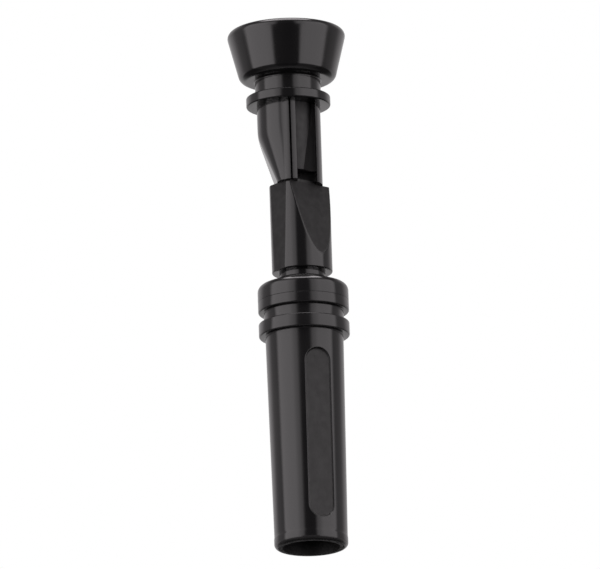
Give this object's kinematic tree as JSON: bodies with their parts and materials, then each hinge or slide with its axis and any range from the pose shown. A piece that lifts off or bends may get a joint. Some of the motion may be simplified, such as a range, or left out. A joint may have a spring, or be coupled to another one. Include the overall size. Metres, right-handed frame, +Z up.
{
  "type": "reed bird call",
  "caption": "Reed bird call drawn apart for cleaning: a flared bell on an open stem, a flatted reed plug with a sealing ring, and a banded barrel with a bare label recess.",
  "frame": {"origin": "centre of the barrel's mouth, in the plane of its rim", "axes": "+Z up the barrel's axis, from its mouth to the bell; -Y through the middle of the label recess"},
  "size_m": [0.0362, 0.0362, 0.1641],
  "materials": {
    "gloss_black": "moulded, polished black",
    "satin_black": "moulded black, satin, with fine-textured flats",
    "ring_rubber": "greased, shiny",
    "wedge_rubber": "matt",
    "clear_film": "clear film"
  },
  "bodies": {
    "barrel": {"barrel": "gloss_black"},
    "sealing_ring": {"sealing_ring": "ring_rubber"},
    "plug": {"reed_plug": "satin_black", "toneboard": "satin_black", "long_reed": "clear_film", "short_reed": "clear_film", "reed_wedge": "wedge_rubber"},
    "tenon_ring": {"tenon_ring": "ring_rubber"},
    "bell": {"bell": "gloss_black"}
  },
  "joints": [
    {"name": "plug_draw", "type": "slide", "parent": "barrel", "child": "sealing_ring", "axis": [0, 0, 1], "range_m": [0, 0.02]},
    {"name": "plug_twist", "type": "hinge", "parent": "sealing_ring", "child": "plug", "pos_m": [0, 0, 0.0842], "axis": [0, 0, 1], "continuous": true},
    {"name": "bell_draw", "type": "slide", "parent": "plug", "child": "tenon_ring", "axis": [0, 0, 1], "range_m": [0, 0.01]},
    {"name": "bell_twist", "type": "hinge", "parent": "tenon_ring", "child": "bell", "pos_m": [0, 0, 0.1057], "axis": [0, 0, 1], "continuous": true}
  ]
}
